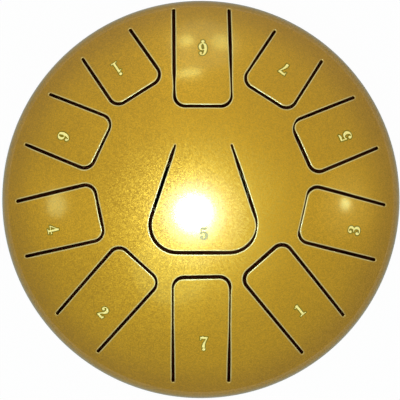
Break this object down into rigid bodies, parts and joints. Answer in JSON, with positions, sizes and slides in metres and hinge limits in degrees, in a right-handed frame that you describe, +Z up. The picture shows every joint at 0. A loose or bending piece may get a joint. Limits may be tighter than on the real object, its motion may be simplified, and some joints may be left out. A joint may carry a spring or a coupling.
{
  "type": "steel tongue drum",
  "caption": "Round steel tongue drum: a gold lacquered dome cut into numbered tongues, joined at a seam to a deeper bowl with a sound hole and rubber feet.",
  "frame": {"origin": "on the surface that the feet stand on, under the drum's axis", "axes": "+Z up along the drum's axis, +Y towards the tongue of the low sixth note, +X to the right of it seen from above"},
  "size_m": [0.2, 0.2, 0.108],
  "materials": {
    "gold_lacquer": "metallic gold lacquer under a clear gloss coat",
    "foot_rubber": "matt black moulded rubber",
    "foam_tape": "grey closed-cell foam tape"
  },
  "bodies": {
    "drum": {"top_shell": "gold_lacquer", "bottom_shell": "gold_lacquer", "seam_weld": "gold_lacquer", "foot_1": "foot_rubber", "foot_adhesive_1": "foam_tape", "foot_2": "foot_rubber", "foot_adhesive_2": "foam_tape", "foot_3": "foot_rubber", "foot_adhesive_3": "foam_tape"},
    "tongue_1": {"tongue_1": "gold_lacquer"},
    "tongue_2": {"tongue_2": "gold_lacquer"},
    "tongue_3": {"tongue_3": "gold_lacquer"},
    "tongue_4": {"tongue_4": "gold_lacquer"},
    "tongue_5": {"tongue_5": "gold_lacquer"},
    "tongue_6": {"tongue_6": "gold_lacquer"},
    "tongue_7": {"tongue_7": "gold_lacquer"},
    "tongue_high_1": {"tongue_high_1": "gold_lacquer"},
    "tongue_low_6": {"tongue_low_6": "gold_lacquer"},
    "tongue_low_7": {"tongue_low_7": "gold_lacquer"},
    "tongue_low_5": {"tongue_low_5": "gold_lacquer"}
  },
  "joints": [
    {"name": "tongue_1_flex", "type": "hinge", "parent": "drum", "child": "tongue_1", "pos_m": [0.06042, -0.06663, 0.07693], "axis": [-0.7408, -0.6718, 0], "range_deg": [-0.63, 0.63], "stiffness_Nm_per_rad": 43.5},
    {"name": "tongue_2_flex", "type": "hinge", "parent": "drum", "child": "tongue_2", "pos_m": [-0.06117, -0.06595, 0.07693], "axis": [-0.7332, 0.68, 0], "range_deg": [-0.64, 0.64], "stiffness_Nm_per_rad": 44.7},
    {"name": "tongue_3_flex", "type": "hinge", "parent": "drum", "child": "tongue_3", "pos_m": [0.08846, -0.01625, 0.07693], "axis": [-0.1807, -0.9835, 0], "range_deg": [-0.75, 0.75], "stiffness_Nm_per_rad": 52.2},
    {"name": "tongue_4_flex", "type": "hinge", "parent": "drum", "child": "tongue_4", "pos_m": [-0.08876, -0.01453, 0.07693], "axis": [-0.1615, 0.9869, 0], "range_deg": [-0.74, 0.74], "stiffness_Nm_per_rad": 51.7},
    {"name": "tongue_5_flex", "type": "hinge", "parent": "drum", "child": "tongue_5", "pos_m": [0.08151, 0.03803, 0.07693], "axis": [0.4228, -0.9062, 0], "range_deg": [-0.85, 0.85], "stiffness_Nm_per_rad": 58.9},
    {"name": "tongue_6_flex", "type": "hinge", "parent": "drum", "child": "tongue_6", "pos_m": [-0.08073, 0.03964, 0.07693], "axis": [0.4408, 0.8976, 0], "range_deg": [-0.85, 0.85], "stiffness_Nm_per_rad": 58.9},
    {"name": "tongue_7_flex", "type": "hinge", "parent": "drum", "child": "tongue_7", "pos_m": [0.04823, 0.07592, 0.07693], "axis": [0.8441, -0.5362, 0], "range_deg": [-0.96, 0.96], "stiffness_Nm_per_rad": 66.4},
    {"name": "tongue_high_1_flex", "type": "hinge", "parent": "drum", "child": "tongue_high_1", "pos_m": [-0.04678, 0.07682, 0.07693], "axis": [0.8541, 0.5201, 0], "range_deg": [-0.98, 0.98], "stiffness_Nm_per_rad": 68},
    {"name": "tongue_low_6_flex", "type": "hinge", "parent": "drum", "child": "tongue_low_6", "pos_m": [0.00026, 0.09419, 0.07359], "axis": [1, -0.0027, 0], "range_deg": [-0.61, 0.61], "stiffness_Nm_per_rad": 42.6},
    {"name": "tongue_low_7_flex", "type": "hinge", "parent": "drum", "child": "tongue_low_7", "pos_m": [0.00003, -0.08995, 0.07693], "axis": [-1, -0.0003, 0], "range_deg": [-0.59, 0.59], "stiffness_Nm_per_rad": 40.8},
    {"name": "tongue_low_5_flex", "type": "hinge", "parent": "drum", "child": "tongue_low_5", "pos_m": [0.0012, 0.0259, 0.10492], "axis": [1, 0, 0], "range_deg": [-0.67, 0.67], "stiffness_Nm_per_rad": 74.3}
  ]
}
